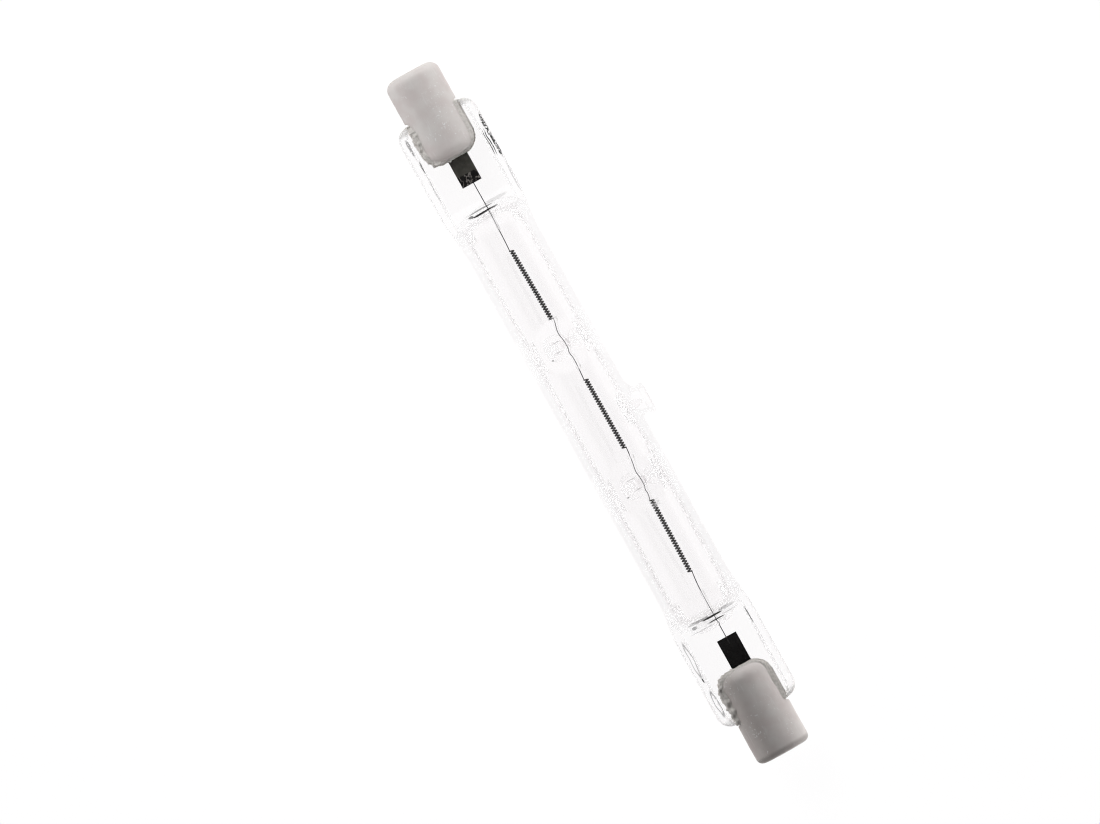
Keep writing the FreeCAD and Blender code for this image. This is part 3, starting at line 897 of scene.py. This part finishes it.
def drawn_wire(name, route):
    """A single round wire along a smooth route given in the lamp's axes."""
    curve = bpy.data.curves.new(name, "CURVE")
    curve.dimensions = "3D"
    curve.bevel_depth = single_radius / 1000
    curve.bevel_resolution = 3
    curve.resolution_u = 8
    curve.use_fill_caps = True
    spline = curve.splines.new("NURBS")
    spline.points.add(len(route) - 1)
    for point, stop in zip(spline.points, route):
        point.co = (*in_world(*stop), 1)
    spline.order_u = 3
    spline.use_endpoint_u = True
    drawing = placed(name, curve)
    mesh = evaluated_mesh(drawing)
    bpy.data.objects.remove(drawing)
    return placed(name, mesh)


tungsten = Paint("drawn_tungsten")
cloud = tungsten.grain(tungsten.place(), 3.0, 2.0)
colour = tungsten.blend(cloud, (0.016, 0.015, 0.015, 1), (0.035, 0.033, 0.032, 1))
wound_metal = tungsten.coat(colour, 0.45, 0.3, Metallic=0.5)
bright = Paint("polished_tungsten")
drawn = bright.grain(bright.place((300.0, 3000.0, 3000.0)), 1.0, 2.0)
colour = bright.blend(drawn, (0.05, 0.048, 0.046, 1), (0.16, 0.155, 0.15, 1))
# Painted highlight: near the welds on the foils the single wire is painted near white and not metal.
painted_weld_highlight = (bright.lamp_axes()[0].absolute() - 38.9).fade(0.0, 0.5)
colour = bright.blend(painted_weld_highlight, colour, (0.92, 0.91, 0.89, 1))
single_metal = bright.coat(colour, 0.32, Metallic=0.9 - painted_weld_highlight * 0.9)

coils = []
leads = []
for index, (shares, heights) in enumerate(zip(coil_shares, coil_heights)):
    start, end = along(shares[0]), along(shares[1])
    sizes = {
        "Start": in_world(start, heights[0]),
        "End": in_world(end, heights[1]),
        "Side Way": tip_way,
        "Face Way": face_way,
        "Turns": coil_turns,
        "Coil Radius": coil_radius / 1000,
        "Thread Radius": thread_radius / 1000,
        "Primary Turns": primary_turns,
        "Ridge": ridge_height / 1000,
        "Points": coil_points,
        "Metal": wound_metal,
    }
    coils.append(wound_coil("coil_%d" % index, sizes))
    leads.append(((start, heights[0] - coil_radius, 0.0), (end, heights[1] + coil_radius, 0.0)))
foil_start, foil_stop = foil_ends
first_leg = [(foil_start - 1.2, 0.47, leg_height), (foil_start, 0.47, leg_height)]
first_leg += [(24.4, 0.5, 0.05), (27.0, 0.42, 0.0), (29.6, 0.36, 0.0), leads[0][0]]
last_leg = [leads[2][1], (88.2, 0.72, 0.0), (91.0, 0.62, 0.0), (93.9, 0.62, 0.05)]
last_leg += [(foil_stop, 0.62, leg_height), (foil_stop + 1.2, 0.62, leg_height)]
routes = [first_leg]
for index, stops in enumerate(bends):
    left_coil_end = leads[index][1]
    link = [left_coil_end, (left_coil_end[0] + 0.25, left_coil_end[1] + 0.02, 0.0)]
    link += [(along(share), height, 0.0) for share, height in stops]
    routes.append(link + [leads[index + 1][0]])
routes.append(last_leg)
strands = [drawn_wire("strand_%d" % index, route) for index, route in enumerate(routes)]
for strand in strands:
    strand.data.materials.append(single_metal)
filament = join_into(coils[0], coils[1:] + strands)
filament.name = "wound_filament"
filament.data.name = "wound_filament"
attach(filament, "root")
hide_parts("tungsten_filament")

# The outer leads are straight molybdenum rods from the foils to the contacts. Each is flattened where it is
# welded to its foil and sealed into the glass, so only the stretch inside the cap is free.
rod = Paint("molybdenum_rod")
drawn = rod.grain(rod.place((150.0, 4000.0, 4000.0)), 1.0, 3.0)
colour = rod.blend(drawn, (0.17, 0.165, 0.155, 1), (0.30, 0.29, 0.275, 1))
lines = rod.bump(drawn, 0.4, 0.00002)
rod_metal = rod.coat(colour, 0.4, Metallic=0.9, Normal=lines)
for side in ("left", "right"):
    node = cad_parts["outer_lead_" + side]
    node.data.materials.clear()
    node.data.materials.append(rod_metal)

# Each contact is a nickel plated button, turned with a soft edge and a shallow dish that the holder's sprung
# pin sits in. It is crimped to the end of the lead and cemented into the floor of the cap's recess.
contact_face = 1.7
contact_radius = 1.45
contact_back = 2.5
contact_rounding = 0.3
dish_radius = 0.75
dish_depth = 0.12


def turned_piece(name, profile, steps=72):
    """A piece turned about the lamp's axis from (distance from the left end, radius) points."""
    turns = [2 * math.pi * step / steps for step in range(steps)]
    rings = [[(u, reach * math.cos(turn), reach * math.sin(turn)) for turn in turns] for u, reach in profile]
    points, faces, borders = rings_to_surface(rings)
    ends = ((0, profile[0][0]), ((len(profile) - 1) * steps, profile[-1][0]))
    return mesh_object(name, points, faces + end_fans(points, ends, steps))


nickel = Paint("plated_nickel")
worn = nickel.grain(nickel.place(), 1.6, 5.0, 0.6)
colour = nickel.blend(worn.fade(0.35, 0.7), (0.36, 0.34, 0.30, 1), (0.56, 0.54, 0.49, 1))
rubbing = nickel.bump(worn, 0.3, 0.00003)
button_metal = nickel.coat(colour, 0.26 + worn * 0.25, Metallic=1.0, Normal=rubbing)
for end, side in enumerate(("left", "right")):
    profile = [(contact_face + dish_depth, 0.25), (contact_face + 0.1, 0.5)]
    profile += [(contact_face + 0.02, dish_radius), (contact_face, dish_radius + 0.12)]
    for turn in quarter_turn(6):
        back, inward = contact_rounding * (1 - math.cos(turn)), contact_rounding * (1 - math.sin(turn))
        profile.append((contact_face + back, contact_radius - inward))
    profile.append((contact_back, contact_radius))
    if end == 1:
        profile = [(lamp_length - u, radius) for u, radius in profile]
    piece = turned_piece("contact_button_" + side, profile)
    piece.data.materials.append(button_metal)
    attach(piece, "root")
    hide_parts("contact_" + side)

# The caps are pressed and fired steatite: a round body with a recess for the contact, slotted so that two
# lobes lie over the pinch. Tumbling after the firing rounds every edge and leaves a fine chalky skin.
cap_voxel = 0.00013
cap_wear = 10
merge_distance = 1e-7
swell_height, pit_depth = 0.03, 0.12


def softened(name, node, voxel, rounds, press):
    """A fine even mesh over a CAD piece, its edges worn round and its points pushed in or out by press."""
    piece = placed(name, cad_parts[node].data.copy())
    shape = bmesh.new()
    shape.from_mesh(piece.data)
    bmesh.ops.remove_doubles(shape, verts=shape.verts, dist=merge_distance)
    shape.to_mesh(piece.data)
    shape.free()
    remesh = piece.modifiers.new("even", "REMESH")
    remesh.mode = "VOXEL"
    remesh.voxel_size = voxel
    relax = piece.modifiers.new("worn", "SMOOTH")
    relax.factor = 0.5
    relax.iterations = rounds
    mesh = evaluated_mesh(piece)
    piece.modifiers.clear()
    piece.data = mesh
    mesh.materials.clear()
    ways = [vertex.normal.copy() for vertex in mesh.vertices]
    for vertex, way in zip(mesh.vertices, ways):
        vertex.co += way * press(vertex.co * 1000, way) / 1000
    mesh.shade_smooth()
    return piece


def chalky(point, way):
    """Small swells and pits of the ceramic's skin, in millimetres."""
    swell = noise.fractal(point * 0.45, 1.0, 2.0, 2) * swell_height
    pits = min(noise.noise(point * 2.7 + Vector((7, 1, 4))) + 0.42, 0.0) * pit_depth
    return swell + pits


steatite = Paint("fired_steatite")
place = steatite.place()
cloud = steatite.grain(place, 0.35, 3.0)
fine = steatite.grain(place, 5.0, 4.0, 0.6)
crumb = steatite.grain(place, 2.2, 3.0, 0.7).fade(0.6, 0.66)
white_fleck = crumb * steatite.grain(place, 0.3, 1.0).fade(0.52, 0.58)
scratch = steatite.grain(steatite.place((300.0, 2200.0, 2200.0)), 1.0, 2.0).fade(0.62, 0.72)
base = steatite.blend(cloud.fade(0.3, 0.7), (0.68, 0.625, 0.61, 1), (0.74, 0.71, 0.69, 1))
u, v, w = steatite.lamp_axes()
# Painted shade: a dark band round the rim of the right cap's end, stopping short of the end face.
painted_end_shade = (u - 57.6).fade(0.0, 0.6) * (1 - (u - 58.5).fade(0.0, 0.3)) * (0.25 + cloud * 0.3)
# Painted shade: the right cap is painted darker and browner on the side away from the tip.
painted_side_shade = (u > 0.0) * (1 - v.fade(-2.6, 0.0)) * v.fade(-5.0, -3.6) * 0.42
base = steatite.blend(painted_side_shade, base, (0.30, 0.26, 0.24, 1))
base = steatite.blend(painted_end_shade, base, (0.2, 0.185, 0.17, 1))
base = steatite.blend((white_fleck * 0.8 + scratch * 0.18).clamped(), base, (0.90, 0.90, 0.89, 1))
chalk = steatite.bump(fine * 0.6 + white_fleck * 0.5 + scratch * 0.2, 0.5, 0.00006)
cap_clay = steatite.coat(base, 0.62 + fine * 0.2, 0.35, IOR=1.5, Normal=chalk)
for side in ("left", "right"):
    cap = softened("steatite_cap_" + side, "ceramic_cap_" + side, cap_voxel, cap_wear, chalky)
    cap.data.materials.append(cap_clay)
    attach(cap, "root")
    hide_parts("ceramic_cap_" + side)

# Refractory cement fills the slot of each cap round the pinch. It was put on wet and pressed out, so it
# stands round the lobes as a rough bead with crumbs and gaps.
bead_voxel = 0.00011
bead_wear = 2
lump_height, crumb_height = 0.45, 0.08


def crumbled(point, way):
    """How far the bead's surface is drawn in to the lobe or stands out in lumps, in millimetres."""
    tipward = (point - axis_point * 1000).dot(tip_way)
    beside = float(smooth_step(abs(tipward) - 2.6))
    outward = beside * way.dot(tip_way) * math.copysign(1, tipward)
    outward -= (1 - beside) * way.x * math.copysign(1, point.x)
    tip_side = float(smooth_step((tipward + 1.5) / 2.5))
    ragged = 1.0 - 0.8 * tip_side
    drawn_in = (0.42 - 0.14 * beside + 0.46 * tip_side * beside) * max(outward, 0.0)
    tucked = 0.5 * max(-outward, 0.0)
    lumps = noise.fractal(point * 1.2, 1.0, 2.0, 3) * lump_height + noise.noise(point * 4.0) * crumb_height
    return tucked - drawn_in + lumps * ragged + 0.05


paste = Paint("dried_cement")
place = paste.place()
grit = paste.grain(place, 2.4, 5.0, 0.65)
sand = paste.grain(place, 9.0, 2.0)
base = paste.blend(grit.fade(0.3, 0.7), (0.64, 0.62, 0.585, 1), (0.84, 0.81, 0.78, 1))
rough = paste.bump(grit + sand * 0.5, 0.8, 0.00012)
cement_mix = paste.coat(base, 0.85, 0.3, Normal=rough)
for side in ("left", "right"):
    bead = softened("cement_bead_" + side, "cement_" + side, bead_voxel, bead_wear, crumbled)
    bead.data.materials.append(cement_mix)
    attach(bead, "root")
    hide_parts("cement_" + side)

# The floor is a plain pale sheet. The light is a white studio, bright all round and dim behind the camera,
# with a soft box near the left end. The camera looks straight at the flat of the pinches through a long lens.
floor_half = 3
floor_light = 1.7
corners = [(x * floor_half, y * floor_half, 0) for x, y in ((-1, -1), (1, -1), (1, 1), (-1, 1))]
floor_mesh = bpy.data.meshes.new("floor")
floor_mesh.from_pydata(corners, [], [(0, 1, 2, 3)])
floor = placed("floor", floor_mesh)
sheet = Paint("white_sheet")
matt = sheet.plain("BsdfDiffuse", (0.86, 0.855, 0.85))
glow = sheet.plain("Emission", (1.0, 1.0, 1.0), Strength=1.08)
in_view = (sheet.ray("Camera") + sheet.ray("Glossy") + sheet.ray("Transmission")).clamped()
surface = sheet.layer(in_view * 0.9, matt, glow)
across = sheet.add("SeparateXYZ", {0: sheet.place()}, out="Y")
lit_side = across.fade(-6.0, 12.0) * 0.85 + 0.15
uplight = sheet.plain("Emission", (1.0, 0.99, 0.98), Strength=floor_light)
surface = sheet.layer(sheet.ray("Diffuse") * lit_side, surface, uplight)
floor.data.materials.append(sheet.finish(surface))
sheet.owner.cycles.emission_sampling = "NONE"

# The studio's strength around the lamp, its strength behind the camera, and between which shares of the way
# towards the camera one fades into the other: as light on the lamp, as mirrored in it and as seen through it
studio_strengths = ((1.5, 0.06, -0.2, 0.3), (0.88, 0.08, 0.15, 0.85), (0.97, 0.72, 0.15, 0.85))
sky = Paint("studio", bpy.data.worlds.new("studio"))
toward_camera = sky.toward(sky.add("TexCoord", out="Generated"), face_way)
studio = []
for around, behind, fade_start, fade_end in studio_strengths:
    strength = toward_camera.fade(fade_start, fade_end) * (behind - around) + around
    studio.append(sky.plain("Background", (1.0, 0.994, 0.988), Strength=strength))
lit, mirrored, seen_through = studio
white = sky.plain("Background", (1, 1, 1), Strength=1.03)
studio_view = sky.layer(sky.ray("Glossy"), lit, mirrored)
studio_view = sky.layer(sky.ray("Transmission"), studio_view, seen_through)
studio_view = sky.layer(sky.ray("Camera"), studio_view, white)
bpy.context.scene.world = sky.finish(studio_view, "ShaderNodeOutputWorld")

box_light = bpy.data.lights.new("soft_box", "AREA")
box_light.shape = "SQUARE"
box_light.size = 0.12
box_light.energy = 0.22
soft_box = placed("soft_box", box_light)
soft_box.location = (-0.14, 0.03, 0.16)
aimed = Vector((-0.052, 0, 0)) - soft_box.location
soft_box.rotation_euler = aimed.to_track_quat("-Z", "Y").to_euler()
soft_box.visible_glossy = False
soft_box.visible_transmission = False

photo_width, photo_height = 1100, 824
pixels_per_mm = 6.606
axis_fall = math.radians(61.02)
lamp_middle_in_photo = (596.9, 412.1)
camera_distance = 1.4
sensor_width = 36.0
camera_data = bpy.data.cameras.new("camera")
camera = placed("camera", camera_data)
rightward = Vector((math.cos(axis_fall), 0, 0)) + tip_way * math.sin(axis_fall)
upward = Vector((-math.sin(axis_fall), 0, 0)) + tip_way * math.cos(axis_fall)
aim = Vector((0, axis_point.y, axis_point.z))
aim -= rightward * ((lamp_middle_in_photo[0] - photo_width / 2) / pixels_per_mm / 1000)
aim += upward * ((lamp_middle_in_photo[1] - photo_height / 2) / pixels_per_mm / 1000)
spot = aim + face_way * camera_distance
camera_rows = [(rightward[row], upward[row], face_way[row], spot[row]) for row in range(3)]
camera.matrix_world = Matrix(camera_rows + [(0, 0, 0, 1)])
camera_data.sensor_width = sensor_width
camera_data.lens = sensor_width * camera_distance / (photo_width / pixels_per_mm / 1000)
camera_data.clip_end = 20
bpy.context.scene.camera = camera
bpy.context.scene.view_settings.view_transform = "Standard"

# Light crosses many faces of the glass. The denoiser's settings keep the fine turns of the coils apart.
cycles = bpy.context.scene.cycles
cycles.max_bounces = 28
cycles.glossy_bounces = 20
cycles.transmission_bounces = 28
cycles.filter_width = 1.2
cycles.denoising_input_passes = "RGB_ALBEDO"
cycles.denoising_prefilter = "NONE"
